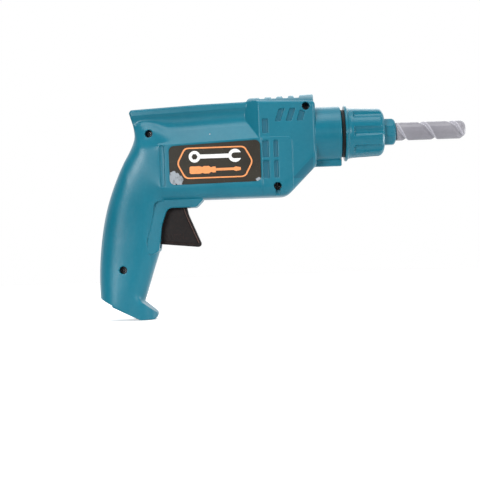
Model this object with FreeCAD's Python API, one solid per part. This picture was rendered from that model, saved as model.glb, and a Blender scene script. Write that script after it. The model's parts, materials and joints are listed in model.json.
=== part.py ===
"""Toy power drill: a squeeze trigger turns the chuck through a small gear train.

Frame: millimetres. The origin is on the spindle axis, in the middle of the round
collar. +X points along the spindle toward the bit, +Z is up, and the clamshell
parts in the plane Y = 0. The right shell is the half at -Y.
"""
import FreeCAD, Part
import math
import os

from FreeCAD import Vector

# ---------------------------------------------------------------- driving sizes
WALL = 2.2                    # moulded wall
BARREL_HALF_WIDTH = 21.5      # side panels of the barrel
LIP_HALF_WIDTH = 13.8         # narrow strip along the top of the rear barrel
TILT = 0.042                  # rise of the rear barrel's upper lines, per mm of X
BOX_REAR_X = -53.5            # where the boxy front section starts
FRONT_X = -11.2               # front face of the barrel
BARREL_BOTTOM_Z = -46.3
BOTTOM_ROUND = 9.5

COLLAR_RADIUS = 20.6
COLLAR_FRONT_X = 8.4
KEY_HALF_WIDTH = 3.4
KEY_BOTTOM_Z = -24.5

# Grip sections: height, back, front, half width, squareness of the outline.
GRIP_SECTIONS = [
    (14.0, -147.4, -132.0, 11.0, 2.4),
    (10.0, -147.1, -126.0, 15.4, 2.7),
    (3.6, -146.9, -118.0, 18.6, 3.2),
    (-7.0, -150.4, -112.0, 20.7, 3.8),
    (-22.0, -158.5, -114.0, 21.3, 3.6),
    (-38.0, -165.4, -118.0, 20.4, 3.1),
    (-54.0, -170.6, -126.4, 18.6, 2.8),
    (-72.0, -174.3, -130.0, 17.4, 2.7),
    (-90.0, -176.5, -133.6, 16.8, 2.7),
    (-106.0, -177.3, -139.0, 16.8, 2.7),
    (-121.0, -177.1, -144.0, 17.0, 2.7),
    (-136.4, -176.3, -149.4, 17.0, 2.7),
]
FOOT_BACK = (-177.2, -118.1)  # the slanted underside of the foot runs between these
FOOT_FRONT = (-147.0, -135.2)
FOOT_HALF_WIDTH = 16.4
SHELF_HALF_WIDTH = 14.6       # the ledge and the frame around the trigger slot
SHELF_BOTTOM_Z = -52.0

# Trigger and gear train. Every gear axle runs along Y.
MODULE = 1.0
PRESSURE_ANGLE = math.radians(25)
BACKLASH = 0.16
SECTOR_TEETH = 48
REDUCTION_PINION_TEETH = 12
REDUCTION_WHEEL_TEETH = 24
CROWN_PINION_TEETH = 12
CROWN_TEETH = 20
SPINDLE_PINION_TEETH = 12
TRIGGER_PIVOT = (-118.0, -37.0)
CROWN_CENTRE = (-90.0, 0.0)
TRIGGER_HALF_WIDTH = 6.4
PIN_RADIUS = 2.0
RUNNING_GAP = 0.06

# Chuck and bit.
SPINDLE_RADIUS = 4.0
FLANGE_RADIUS = 21.1
SLEEVE_REAR_RADIUS = 18.9
SLEEVE_FRONT_RADIUS = 18.0
SLEEVE_REAR_X = 11.2
SLEEVE_FRONT_X = 41.0
SLEEVE_GROOVES = 8
NOSE_RADIUS = 10.2
NOSE_FRONT_X = 50.2
BIT_RADIUS = 6.9
BIT_TIP_X = 103.4
FLUTE_PITCH = 22.0
FLUTE_MIDDLE_X = 74.4         # where the flute crosses the middle of the right side

GROOVE_START_X = 17.6
GROOVE_DEPTH = 1.6
GROOVE_ROUND = 4.6            # the grooves are hollow-ground to this radius
DUST_RING_X = (9.0, 11.15)
DUST_RING_RADII = (15.9, 17.9)
BIT_SHANK_RADIUS = 5.0
CHUCK_PIN_X = 22.0

# Bearings and pins inside the case.
REAR_WALL_X = -70.0
REAR_BUSH_RADIUS = 6.9
FRONT_BUSH_X = (3.0, 6.2)
FRONT_BUSH_RADIUS = 18.1
SPINDLE_FRONT_RADIUS = 6.0
SPINDLE_FRONT_X = 31.0
SPINDLE_PINION_X = (-82.2, -78.0)
CROWN_PITCH_Y = 6.0           # crown teeth meet the spindle pinion this far off its axis
CROWN_FACE = (8.7, 11.3)      # inner and outer radius of the face teeth
SECTOR_HALF_WIDTH = 2.4
AXLE_HALF_LENGTH = 17.6
BOSS_RADIUS = 3.7
BOSS_ROOT_Y = BARREL_HALF_WIDTH - 1.3      # bosses grow out of the wall, not through it
SPRING_RADIUS = 3.3
SPRING_WIRE = 0.9
SPRING_PITCH = 1.0
SPRING_TURNS = 3.25

# Details on the side panels.
LABEL_X = (-120.9, -53.0)
LABEL_TOP_Z = -6.7
LABEL_RISE = 2.8
LABEL_BOTTOM_Z = -35.4
LABEL_CORNER = 4.0
LABEL_DEPTH = 0.5
LABEL_THICKNESS = 0.35
PAD_HEIGHT = 0.5
VENT_DEPTH = 1.0
SEAM_GAP = 0.02               # each half stops this far short of the parting plane
SEAM_OVERLAP = 2.0            # construction solids run this far past it

SCREW_BOSS_RADIUS = 4.3
SCREW_SHANK_RADIUS = 1.5
SCREW_SEAT_Y = -8.0
SCREW_TIP_Y = 11.0
SCREW_HEAD_RADIUS = 2.6
COUNTERBORE_RADIUS = 2.9
SCREWS = [(-135.6, 3.6), (-158.3, -97.3), (-41.0, -38.8), (-18.2, 19.8)]

Y_AXIS = Vector(0, 1, 0)
X_AXIS = Vector(1, 0, 0)


# ---------------------------------------------------------------- small helpers
def side(x, z, y=0.0):
    """A point given by its place in the side view."""
    return Vector(x, y, z)


def rounded_polygon(corners):
    """A wire in the side view. Each corner is x, z and its rounding radius."""
    count = len(corners)
    edges = []
    trims = []
    for index, (x, z, radius) in enumerate(corners):
        here = side(x, z)
        before = side(*corners[index - 1][:2])
        after = side(*corners[(index + 1) % count][:2])
        to_before = (before - here).normalize()
        to_after = (after - here).normalize()
        if radius <= 0:
            trims.append((here, None, here))
            continue
        half = to_before.getAngle(to_after) / 2
        reach = radius / math.tan(half)
        start = here + to_before * reach
        end = here + to_after * reach
        bisector = (to_before + to_after).normalize()
        middle = here + bisector * (radius / math.sin(half) - radius)
        trims.append((start, middle, end))
    for index, (start, middle, end) in enumerate(trims):
        previous_end = trims[index - 1][2]
        if (start - previous_end).Length > 1e-6:
            edges.append(Part.makeLine(previous_end, start))
        if middle is not None:
            edges.append(Part.Arc(start, middle, end).toShape())
    return Part.Wire(edges)


def plate(corners, y_from, y_to):
    """A rounded polygon in the side view, extruded from y_from to y_to."""
    face = Part.Face(rounded_polygon(corners))
    face.translate(Vector(0, y_from, 0))
    return face.extrude(Vector(0, y_to - y_from, 0))


def box(x_range, y_range, z_range):
    size = [high - low for low, high in (x_range, y_range, z_range)]
    return Part.makeBox(*size, Vector(x_range[0], y_range[0], z_range[0]))


def rod_y(radius, place, y_from, y_to):
    """A cylinder along Y through a place in the side view."""
    return Part.makeCylinder(radius, y_to - y_from, side(*place, y_from), Y_AXIS)


def rod_x(radius, x_from, x_to):
    """A cylinder on the spindle axis."""
    return Part.makeCylinder(radius, x_to - x_from, Vector(x_from, 0, 0), X_AXIS)


def fuse(shapes):
    return shapes[0].multiFuse(shapes[1:]).removeSplitter()


def cut(shape, tools):
    return shape.cut(Part.makeCompound(tools))


def mirrored(shape):
    """The same shape on the other side of the parting plane."""
    return shape.mirror(Vector(0, 0, 0), Y_AXIS)


def both_sides(shape):
    return [shape, mirrored(shape)]


def turned(shape, degrees, axis=X_AXIS):
    copy = shape.copy()
    copy.rotate(Vector(0, 0, 0), axis, degrees)
    return copy


def spun(profile):
    """A solid of revolution about the spindle axis from x, radius corners."""
    wire = Part.makePolygon([side(x, radius) for x, radius in profile + profile[:1]])
    return Part.Face(wire).revolve(Vector(0, 0, 0), X_AXIS, 360)


def rounded_edges(shape, radius, wanted):
    """Fillet the edges that the test `wanted` picks."""
    edges = [edge for edge in shape.Edges if wanted(edge)]
    return shape.makeFillet(radius, edges)


# ---------------------------------------------------------------- gears
def involute(angle):
    return math.tan(angle) - angle


def gear_outline(teeth, first_tooth, tooth_range=None):
    """Points of a gear in its own plane; first_tooth is a tooth's angle."""
    pitch_radius = teeth * MODULE / 2
    base_radius = pitch_radius * math.cos(PRESSURE_ANGLE)
    tip_radius = pitch_radius + MODULE
    root_radius = pitch_radius - 1.25 * MODULE
    half_at_pitch = math.pi / (2 * teeth) - BACKLASH / (2 * pitch_radius)
    flank_start = max(base_radius, root_radius)
    flank = []
    for step in range(5):
        radius = flank_start + (tip_radius - flank_start) * step / 4
        pressure = math.acos(min(1.0, base_radius / radius))
        half = half_at_pitch + involute(PRESSURE_ANGLE) - involute(pressure)
        flank.append((radius, half))
    if flank_start > root_radius:
        flank.insert(0, (root_radius, flank[0][1]))
    points = []
    for number in tooth_range or range(teeth):
        middle = first_tooth + 2 * math.pi * number / teeth
        points += [(radius, middle - half) for radius, half in flank]
        points += [(radius, middle + half) for radius, half in reversed(flank)]
    return points


def in_side_view(points, centre):
    """Polar points about a gear's centre; angles go from +X toward +Z."""
    return [side(centre[0] + r * math.cos(a), centre[1] + r * math.sin(a)) for r, a in points]


def gear_y(teeth, centre, first_tooth, y_from, y_to):
    """A spur gear whose axle runs along Y."""
    points = in_side_view(gear_outline(teeth, first_tooth), centre)
    face = Part.Face(Part.makePolygon(points + points[:1]))
    face.translate(Vector(0, y_from, 0))
    return face.extrude(Vector(0, y_to - y_from, 0))


def centre_distance(teeth_a, teeth_b):
    return (teeth_a + teeth_b) * MODULE / 2


def reduction_centre():
    """Where the reduction gear meshes with both the sector and the crown pinion."""
    to_pivot = centre_distance(SECTOR_TEETH, REDUCTION_PINION_TEETH)
    to_crown = centre_distance(REDUCTION_WHEEL_TEETH, CROWN_PINION_TEETH)
    dx = CROWN_CENTRE[0] - TRIGGER_PIVOT[0]
    dz = CROWN_CENTRE[1] - TRIGGER_PIVOT[1]
    span = math.hypot(dx, dz)
    along = (to_pivot ** 2 - to_crown ** 2 + span ** 2) / (2 * span)
    across = math.sqrt(to_pivot ** 2 - along ** 2)
    x = TRIGGER_PIVOT[0] + (along * dx + across * dz) / span
    z = TRIGGER_PIVOT[1] + (along * dz - across * dx) / span
    return x, z


REDUCTION_CENTRE = reduction_centre()


def direction(start, end):
    return math.atan2(end[1] - start[1], end[0] - start[0])


# ---------------------------------------------------------------- clamshell, outside
def barrel_profile(inset):
    """Side view of the barrel; inset moves every side inward by that much."""
    outline = rounded_polygon([
        (-150.4, 20.0, 1.2),
        (-149.0, 22.3, 2.0),
        (-97.0, 24.7, 0),
        (-59.0, 25.5, 0),
        (FRONT_X, 24.0, 3.4),
        (FRONT_X, -24.1, 0),
        (-33.6, BARREL_BOTTOM_Z, 11.0),
        (-126.0, BARREL_BOTTOM_Z, 0),
        (-140.0, -20.0, 0),
        (-146.6, 3.0, 0),
        (-147.8, 11.5, 30.0),
    ])
    if inset:
        outline = outline.makeOffset2D(-inset)
    return Part.Face(outline)


def is_lengthwise_at(edge, half_width):
    """True for an edge that lies along one side plane of the barrel."""
    box_of_edge = edge.BoundBox
    on_side = abs(abs(box_of_edge.Center.y) - half_width) < 0.01
    return on_side and box_of_edge.YLength < 0.01


def barrel_block(inset):
    """The barrel with rounded lower edges, before the coves are cut."""
    half_width = BARREL_HALF_WIDTH - inset
    face = barrel_profile(inset)
    face.translate(Vector(0, -half_width, 0))
    block = face.extrude(Vector(0, 2 * half_width, 0))

    def lower(edge):
        low = edge.BoundBox.ZMax < -20.5 and edge.BoundBox.Center.x > -125
        return low and is_lengthwise_at(edge, half_width)

    def upper(edge):
        high = edge.BoundBox.Center.z > -21 and edge.BoundBox.Center.x > -125
        return high and is_lengthwise_at(edge, half_width)

    block = rounded_edges(block, BOTTOM_ROUND - inset, lower)
    return rounded_edges(block, 2.6 - inset / 2, upper)


def cove_cutter(inset):
    """What is missing beside the top strip of the rear barrel, on the right side."""
    z_shift = -inset * 0.8
    lip = LIP_HALF_WIDTH - inset
    foot = BARREL_HALF_WIDTH + 8 - inset
    top = Vector(0, -lip, 60)
    lip_edge = Vector(0, -lip, 19.6 + z_shift)
    cove_middle = Vector(0, -(lip - 1.5), 13.6 + z_shift)
    cove_end = Vector(0, -(lip + 1.4), 6.0 + z_shift)
    facet_end = Vector(0, -foot, -18.0 + z_shift)
    outer_top = Vector(0, -foot, 60)
    wire = Part.Wire([
        Part.makeLine(top, lip_edge),
        Part.Arc(lip_edge, cove_middle, cove_end).toShape(),
        Part.makeLine(cove_end, facet_end),
        Part.makeLine(facet_end, outer_top),
        Part.makeLine(outer_top, top),
    ])
    length = 130.0
    face = Part.Face(wire)
    face.translate(Vector(-97.0 - length / 2, 0, -TILT * length / 2))
    prism = face.extrude(Vector(length, 0, TILT * length))
    front = BOX_REAR_X + 1.4 * inset
    end_wall = Part.makePolygon([
        Vector(front - 9.5, -LIP_HALF_WIDTH + 1, -40),
        Vector(front, -BARREL_HALF_WIDTH, -40),
        Vector(front + 9.5, -BARREL_HALF_WIDTH - 9, -40),
        Vector(front + 60, -BARREL_HALF_WIDTH - 9, -40),
        Vector(front + 60, 0, -40),
        Vector(front - 16, 0, -40),
        Vector(front - 9.5, -LIP_HALF_WIDTH + 1, -40),
    ])
    return prism.cut(Part.Face(end_wall).extrude(Vector(0, 0, 120)))


def barrel(inset):
    block = barrel_block(inset)
    block = cut(block, both_sides(cove_cutter(inset)))

    def lip_top(edge):
        centre = edge.BoundBox.Center
        on_lip = abs(abs(centre.y) - (LIP_HALF_WIDTH - inset)) < 0.01
        return on_lip and centre.z > 20.0 and edge.BoundBox.XLength > 20

    if not inset:
        block = rounded_edges(block, 2.0, lip_top)
    return block.common(half_space(-1, SEAM_OVERLAP))


def half_section(height, back, front, half_width, power, inset):
    """The right half of a superellipse, closed a little past the parting plane."""
    middle = (back + front) / 2
    reach = (front - back) / 2 - inset
    width = half_width - inset
    steps = 14
    points = []
    for step in range(steps + 1):
        angle = math.pi * step / steps
        c = math.cos(angle)
        x = middle + reach * math.copysign(abs(c) ** (2 / power), c)
        y = -width * abs(math.sin(angle)) ** (2 / power)
        points.append(Vector(x, y if 0 < step < steps else 0.0, height))
    curve = Part.BSplineCurve()
    curve.interpolate(Points=points, InitialTangent=Vector(0, -1, 0), FinalTangent=Y_AXIS)
    front_edge = points[0] + Vector(0, SEAM_OVERLAP, 0)
    back_edge = points[-1] + Vector(0, SEAM_OVERLAP, 0)
    lines = [
        Part.makeLine(points[-1], back_edge),
        Part.makeLine(back_edge, front_edge),
        Part.makeLine(front_edge, points[0]),
    ]
    return Part.Wire([curve.toShape()] + lines)


def grip(inset):
    """Right half of the grip, lofted through its sections."""
    wires = [half_section(*section, inset) for section in GRIP_SECTIONS]
    return Part.makeLoft(wires, True, False).cut(grip_trim(inset))


def grip_trim(inset):
    """Everything under the slanted base of the grip."""
    (back_x, back_z), (front_x, front_z) = FOOT_BACK, FOOT_FRONT
    slope = (front_z - back_z) / (front_x - back_x)
    lift = inset * math.hypot(1, slope)
    return plate([
        (back_x - 20, back_z - 20 * slope + lift, 0),
        (front_x + 20, front_z + 20 * slope + lift, 0),
        (front_x + 20, -180.0, 0),
        (back_x - 20, -180.0, 0),
    ], -40, 40)


def foot(inset):
    """The toe that flares forward from the base of the grip."""
    profile = plate([
        (-160.0, -108.6, 0),
        (-168.0, -124.6 + inset, 0),
        (FOOT_FRONT[0] + inset / 2, FOOT_FRONT[1] + inset, 3.0),
        (-136.0 - inset, -135.0 + inset, 2.2),
        (-133.9 - inset, -130.6, 2.0),
        (-143.2 - inset, -123.4, 10.0),
    ], -30, 30)
    plan = half_section(-140.0, -179.2, -134.1, FOOT_HALF_WIDTH, 3.0, inset)
    prism = Part.Face(plan).extrude(Vector(0, 0, 40))
    return profile.common(prism)


def shelf(inset):
    """The ledge under the barrel that the trigger comes out of."""
    width = SHELF_HALF_WIDTH - inset
    return plate([
        (-133.0 + inset, -40.0, 0),
        (-97.2 - inset, -40.0, 0),
        (-97.2 - inset, -46.9, 0),
        (-102.2 - inset, SHELF_BOTTOM_Z + inset, 3.6),
        (-133.0 + inset, SHELF_BOTTOM_Z + inset, 0),
    ], -width, width)


def guide_strip():
    """The band stepped in beside the trigger slot, on the right side."""
    return plate([
        (-120.0, -46.6, 0),
        (-133.2, -46.6, 5.0),
        (-134.9, -58.0, 8.0),
        (-140.2, -77.0, 4.0),
        (-138.7, -86.4, 4.0),
        (-133.1, -87.0, 1.0),
        (-120.0, -60.0, 0),
    ], -30.0, -SHELF_HALF_WIDTH)


def slot_frame(inset):
    """The flat-sided edge of the grip that the trigger slides into."""
    width = SHELF_HALF_WIDTH - inset
    return plate([
        (-134.0, -44.0, 0),
        (-114.0 - inset, -44.0, 0),
        (-114.0 - inset, SHELF_BOTTOM_Z + inset, 0),
        (-124.0 - inset, SHELF_BOTTOM_Z + inset, 5.0),
        (-128.7 - inset, -65.0, 14.0),
        (-130.0 - inset, -76.0, 10.0),
        (-131.2 - inset, -84.0 + inset, 2.0),
        (-135.9, -86.4 + inset, 1.0),
        (-150.0, -84.0, 0),
        (-146.0, -44.0, 0),
    ], -width, width)


def rail():
    """Notched sight rail along the top of the front section."""
    top = 29.4
    body = plate([
        (-64.0, 24.2, 0),
        (-60.2, top - 0.5, 1.2),
        (FRONT_X - 0.1, top + 1.0, 1.0),
        (FRONT_X - 0.1, 22.0, 0),
        (-64.0, 22.0, 0),
    ], -4.6, 4.6)
    body = rounded_edges(body, 1.2, lambda e: e.BoundBox.ZMin > 28 and e.BoundBox.YLength < 0.01
                         and e.BoundBox.XLength > 20)
    notches = []
    for middle in (-50.0, -41.2, -32.4, -24.0):
        notches.append(plate([
            (middle - 3.2, 32.5, 0),
            (middle - 1.9, top - 1.2, 0.4),
            (middle + 1.9, top - 1.2, 0.4),
            (middle + 3.2, 32.5, 0),
        ], -6, 6))
    return cut(body, notches)


def collar_solid():
    collar = rod_x(COLLAR_RADIUS, FRONT_X - 3.0, COLLAR_FRONT_X)
    collar = rounded_edges(collar, 0.9, lambda e: abs(e.BoundBox.Center.x - COLLAR_FRONT_X) < 0.01)
    key = box((FRONT_X - 0.5, COLLAR_FRONT_X + 0.3), (-KEY_HALF_WIDTH, KEY_HALF_WIDTH),
              (KEY_BOTTOM_Z, -15.0))
    key = rounded_edges(key, 0.8, lambda e: e.BoundBox.ZMax < KEY_BOTTOM_Z + 0.1)
    return [collar, key]


def outer_half():
    """The right half of the case as a full solid, before it is hollowed."""
    solids = [barrel(0.0), grip(0.0), foot(0.0), rail()] + collar_solid()
    stepped = fuse(solids).cut(guide_strip())
    raised = [stepped, shelf(0.0), slot_frame(0.0), vent_pad(barrel_block(0.0))]
    return fuse(raised).common(half_space(-1, -SEAM_GAP))


def cavities():
    """The hollows to cut out one after another, each a wall thinner than the outside."""
    strip = guide_strip().translated(Vector(0, WALL, 0))
    return [barrel(WALL), grip(WALL).cut(strip), foot(WALL), shelf(WALL), slot_frame(WALL)]


def trigger_slot():
    half_width = TRIGGER_HALF_WIDTH + 0.6
    return plate([
        (-107.4, -43.0, 0),
        (-107.4, -56.0, 0),
        (-118.0, -81.8, 0),
        (-141.0, -81.8, 0),
        (-134.0, -43.0, 0),
    ], -half_width, half_width)


def collar_bore():
    """Stepped bore that traps the rim of the front bush."""
    return [
        rod_x(15.0, FRONT_X - 4.0, FRONT_BUSH_X[0]),
        rod_x(FRONT_BUSH_RADIUS + 0.1, *FRONT_BUSH_X),
        rod_x(17.0, FRONT_BUSH_X[1], COLLAR_FRONT_X + 1.0),
    ]


# ---------------------------------------------------------------- clamshell, details
def label_outline(margin):
    left, right = LABEL_X
    low = LABEL_BOTTOM_Z - margin
    return [
        (left - margin, LABEL_TOP_Z + margin, LABEL_CORNER + margin),
        (right + margin, LABEL_TOP_Z + LABEL_RISE + margin, LABEL_CORNER + margin),
        (right + margin, low + LABEL_RISE / 4, LABEL_CORNER + margin),
        (left - margin, low, LABEL_CORNER + margin),
    ]


def slot_outline(x_range, z_range, corner):
    return [
        (x_range[0], z_range[0], corner),
        (x_range[1], z_range[0], corner),
        (x_range[1], z_range[1], corner),
        (x_range[0], z_range[1], corner),
    ]


def vent_pad(block):
    """The slightly raised patch around the four lower vents, on the right side."""
    outline = plate([
        (-51.9, -2.5, 0),
        (-29.3, -2.6, 4.0),
        (-29.3, -50.0, 0),
        (-51.9, -50.0, 0),
    ], -BARREL_HALF_WIDTH - 1.0, -BARREL_HALF_WIDTH + 9.0)
    return outline.common(block.translated(Vector(0, -PAD_HEIGHT, 0)))


def side_pockets():
    """Shallow recesses in the right side panel: label, groove and vents."""
    face = -BARREL_HALF_WIDTH
    pockets = [plate(label_outline(0.35), face - 1.0, face + LABEL_DEPTH)]
    groove = slot_outline((-127.8, -124.4), (-36.6, -5.6), 1.4)
    pockets.append(plate(groove, face - 1.0, face + 1.0))
    upper_vent = slot_outline((-51.0, -46.8), (0.6, 11.4), 0.6)
    pockets.append(plate(upper_vent, face - 1.0, face + VENT_DEPTH))
    for number in range(3):
        start = -41.5 + 8.05 * number
        top = 16.9 if number == 2 else 18.5
        lean = 0.35 * (top - 9.0)
        slanted = plate([
            (start, 9.0, 0.6),
            (start + 4.2, 9.0, 0.6),
            (start + 4.2 + lean, top, 0.6),
            (start + lean, top, 0.6),
        ], face - 1.0, face + VENT_DEPTH)
        pockets.append(slanted)
    for x_range in ((-51.3, -46.8), (-43.0, -40.0)):
        for z_range in ((-17.5, -4.8), (-32.8, -19.6)):
            outline = slot_outline(x_range, z_range, 0.8)
            pockets.append(plate(outline, face - 2.0, face + VENT_DEPTH - PAD_HEIGHT / 2))
    return pockets


def lower_screw_notch():
    """The slit that runs from the lower screw hole out through the bottom edge."""
    x, z = SCREWS[2]
    return box((x - 1.7, x + 1.7), (-BARREL_HALF_WIDTH - 1, -16.5), (z - 12.0, z))


def hollow_half(outer):
    """The right half of the case, hollowed, with its pockets, before it is fitted out."""
    hollow = outer
    for tool in cavities() + [trigger_slot()] + collar_bore() + side_pockets():
        hollow = hollow.cut(tool)
    return hollow


def half_space(sign, reach):
    """The space on one side of the parting plane, and `reach` beyond it."""
    y_range = (-reach, 60.0) if sign > 0 else (-60.0, reach)
    return box((-260.0, 160.0), y_range, (-200.0, 80.0))


def bearing_wall(sign):
    """Half of the wall that holds the rear spindle bush."""
    y_range = (SEAM_GAP, BOSS_ROOT_Y) if sign > 0 else (-BOSS_ROOT_Y, -SEAM_GAP)
    wall = box((REAR_WALL_X - 1.5, REAR_WALL_X + 1.5), y_range, (-13.0, 13.0))
    return wall.cut(rod_x(REAR_BUSH_RADIUS + 0.02, REAR_WALL_X - 5, REAR_WALL_X + 5))


def axle_places():
    """Each pin or axle: its centre and where the bosses end on the two sides."""
    return [
        (TRIGGER_PIVOT, -6.6, 10.9),
        (REDUCTION_CENTRE, -8.3, 8.3),
        (CROWN_CENTRE, -10.4, 7.4),
    ]


def axle_bosses(sign):
    bosses = []
    for centre, right_end, left_end in axle_places():
        if sign > 0:
            bosses.append(rod_y(BOSS_RADIUS, centre, left_end, BOSS_ROOT_Y))
        else:
            bosses.append(rod_y(BOSS_RADIUS, centre, -BOSS_ROOT_Y, right_end))
    return bosses


def axle_holes():
    reach = AXLE_HALF_LENGTH + 0.3
    return [rod_y(PIN_RADIUS + 0.02, place[0], -reach, reach) for place in axle_places()]


def screw_bosses(sign):
    """Columns that the screws pass through; the right ones are counterbored."""
    columns = []
    for place in SCREWS:
        if sign > 0:
            columns.append(rod_y(SCREW_BOSS_RADIUS, place, SEAM_GAP, 30.0))
        else:
            columns.append(rod_y(SCREW_BOSS_RADIUS, place, -30.0, -SEAM_GAP))
    return columns


def screw_holes(sign):
    holes = []
    for place in SCREWS:
        if sign > 0:
            holes.append(rod_y(SCREW_SHANK_RADIUS, place, -1.0, SCREW_TIP_Y + 1.0))
        else:
            holes.append(rod_y(SCREW_SHANK_RADIUS + 0.1, place, -30.0, 1.0))
            holes.append(rod_y(COUNTERBORE_RADIUS, place, -30.0, SCREW_SEAT_Y))
    return holes


def shell(outer, hollow, sign):
    """One half of the case with its bosses and bearing wall."""
    if sign > 0:
        outer = mirrored(outer)
        hollow = mirrored(hollow)
    additions = axle_bosses(sign) + screw_bosses(sign) + [bearing_wall(sign)]
    inside = [shape.common(outer) for shape in additions]
    solid = fuse([hollow] + inside)
    for tool in axle_holes() + screw_holes(sign):
        solid = solid.cut(tool)
    if sign < 0:
        solid = solid.cut(lower_screw_notch())
    return max(solid.Solids, key=lambda piece: piece.Volume)


def label(sign):
    outer_face = BARREL_HALF_WIDTH - LABEL_DEPTH + LABEL_THICKNESS
    inner_face = BARREL_HALF_WIDTH - LABEL_DEPTH
    right = plate(label_outline(0.0), -outer_face, -inner_face)
    return mirrored(right) if sign > 0 else right


def shell_screws():
    """Four self-tapping screws with cross-recessed heads."""
    screws = []
    for place in SCREWS:
        head = rod_y(SCREW_HEAD_RADIUS, place, SCREW_SEAT_Y - 2.0, SCREW_SEAT_Y)
        shank = rod_y(SCREW_SHANK_RADIUS - 0.02, place, SCREW_SEAT_Y, SCREW_TIP_Y)
        screw = head.fuse(shank)
        for long_x, long_z in ((1.5, 0.35), (0.35, 1.5)):
            x, z = place
            recess = box((x - long_x, x + long_x), (SCREW_SEAT_Y - 3.0, SCREW_SEAT_Y - 0.9),
                         (z - long_z, z + long_z))
            screw = screw.cut(recess)
        screws.append(screw)
    return Part.makeCompound(screws)


# ---------------------------------------------------------------- trigger
def finger_piece():
    """The part of the trigger that shows, with a groove along its rim."""
    body = plate([
        (-112.0, -38.0, 0),
        (-110.2, -50.0, 4.0),
        (-108.6, -57.4, 9.0),
        (-98.4, -82.4, 2.4),
        (-134.4, -78.5, 1.2),
        (-126.0, -47.0, 6.0),
        (-122.0, -38.0, 0),
    ], -TRIGGER_HALF_WIDTH, TRIGGER_HALF_WIDTH)

    def rim(edge):
        low = edge.BoundBox.Center.z < -54 and edge.BoundBox.Center.x > -128
        return low and is_lengthwise_at(edge, TRIGGER_HALF_WIDTH)

    body = rounded_edges(body, 0.5, rim)
    groove_outer = plate([
        (-114.0, -50.0, 0),
        (-110.2, -57.6, 8.0),
        (-100.8, -80.4, 1.4),
        (-136.0, -76.7, 0),
        (-136.0, -50.0, 0),
    ], -TRIGGER_HALF_WIDTH - 1, -TRIGGER_HALF_WIDTH + 0.45)
    groove_inner = plate([
        (-114.0, -50.0, 0),
        (-110.9, -57.7, 8.0),
        (-101.8, -79.8, 0.9),
        (-136.0, -76.1, 0),
        (-136.0, -50.0, 0),
    ], -TRIGGER_HALF_WIDTH - 2, -TRIGGER_HALF_WIDTH + 1)
    return cut(body, both_sides(groove_outer.cut(groove_inner)))


def trigger_sector():
    """The toothed arm that drives the reduction gear."""
    toward_gear = direction(TRIGGER_PIVOT, REDUCTION_CENTRE)
    outline = gear_outline(SECTOR_TEETH, toward_gear, range(-2, 5))
    points = in_side_view(outline, TRIGGER_PIVOT)
    points.append(side(*TRIGGER_PIVOT))
    face = Part.Face(Part.makePolygon(points + points[:1]))
    face.translate(Vector(0, -SECTOR_HALF_WIDTH, 0))
    return face.extrude(Vector(0, 2 * SECTOR_HALF_WIDTH, 0))


def trigger():
    hub = rod_y(5.2, TRIGGER_PIVOT, -TRIGGER_HALF_WIDTH, TRIGGER_HALF_WIDTH)
    solid = fuse([finger_piece(), trigger_sector(), hub])
    reach = TRIGGER_HALF_WIDTH + 1
    return solid.cut(rod_y(PIN_RADIUS + RUNNING_GAP, TRIGGER_PIVOT, -reach, reach))


def trigger_spring():
    """A torsion spring on the trigger pin, with one leg on the trigger."""
    helix = Part.makeHelix(SPRING_PITCH, SPRING_PITCH * SPRING_TURNS, SPRING_RADIUS)
    start = Vector(SPRING_RADIUS, 0, 0)
    profile = Part.Wire([Part.makeCircle(SPRING_WIRE / 2, start, Y_AXIS)])
    coil = Part.Wire(helix).makePipeShell([profile], True, True)
    trigger_leg = Part.makeCylinder(SPRING_WIRE / 2, 13.0, start, Vector(0, -1, 0))
    top = SPRING_PITCH * SPRING_TURNS
    case_leg = Part.makeCylinder(SPRING_WIRE / 2, 11.0, Vector(SPRING_RADIUS, 0, top), Y_AXIS)
    spring = fuse([coil, trigger_leg, case_leg])
    spring.rotate(Vector(0, 0, 0), X_AXIS, -90)
    spring.translate(side(*TRIGGER_PIVOT, TRIGGER_HALF_WIDTH + 0.25 + SPRING_WIRE / 2))
    return spring


def axle(place):
    return rod_y(PIN_RADIUS, place, -AXLE_HALF_LENGTH, AXLE_HALF_LENGTH)


# ---------------------------------------------------------------- gear train
def tooth_angle_facing(teeth, toward):
    """Where the first tooth goes so that a space, not a tooth, points `toward`."""
    return toward + math.pi / teeth


def reduction_gear():
    """Small pinion on the sector and large wheel on the crown pinion, in one piece."""
    to_sector = direction(REDUCTION_CENTRE, TRIGGER_PIVOT)
    to_crown = direction(REDUCTION_CENTRE, CROWN_CENTRE)
    first = tooth_angle_facing(REDUCTION_PINION_TEETH, to_sector)
    pinion = gear_y(REDUCTION_PINION_TEETH, REDUCTION_CENTRE, first, -3.0, 3.0)
    wheel = gear_y(REDUCTION_WHEEL_TEETH, REDUCTION_CENTRE, to_crown, 3.0, 6.5)
    hub = rod_y(3.6, REDUCTION_CENTRE, -8.1, 8.1)
    solid = fuse([pinion, wheel, hub])
    for number in range(5):
        angle = to_crown + 2 * math.pi * (number + 0.5) / 5
        x = REDUCTION_CENTRE[0] + 7.4 * math.cos(angle)
        z = REDUCTION_CENTRE[1] + 7.4 * math.sin(angle)
        solid = solid.cut(rod_y(1.6, (x, z), 3.01, 8.0))
    return solid.cut(rod_y(PIN_RADIUS + RUNNING_GAP, REDUCTION_CENTRE, -9, 9))


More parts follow.
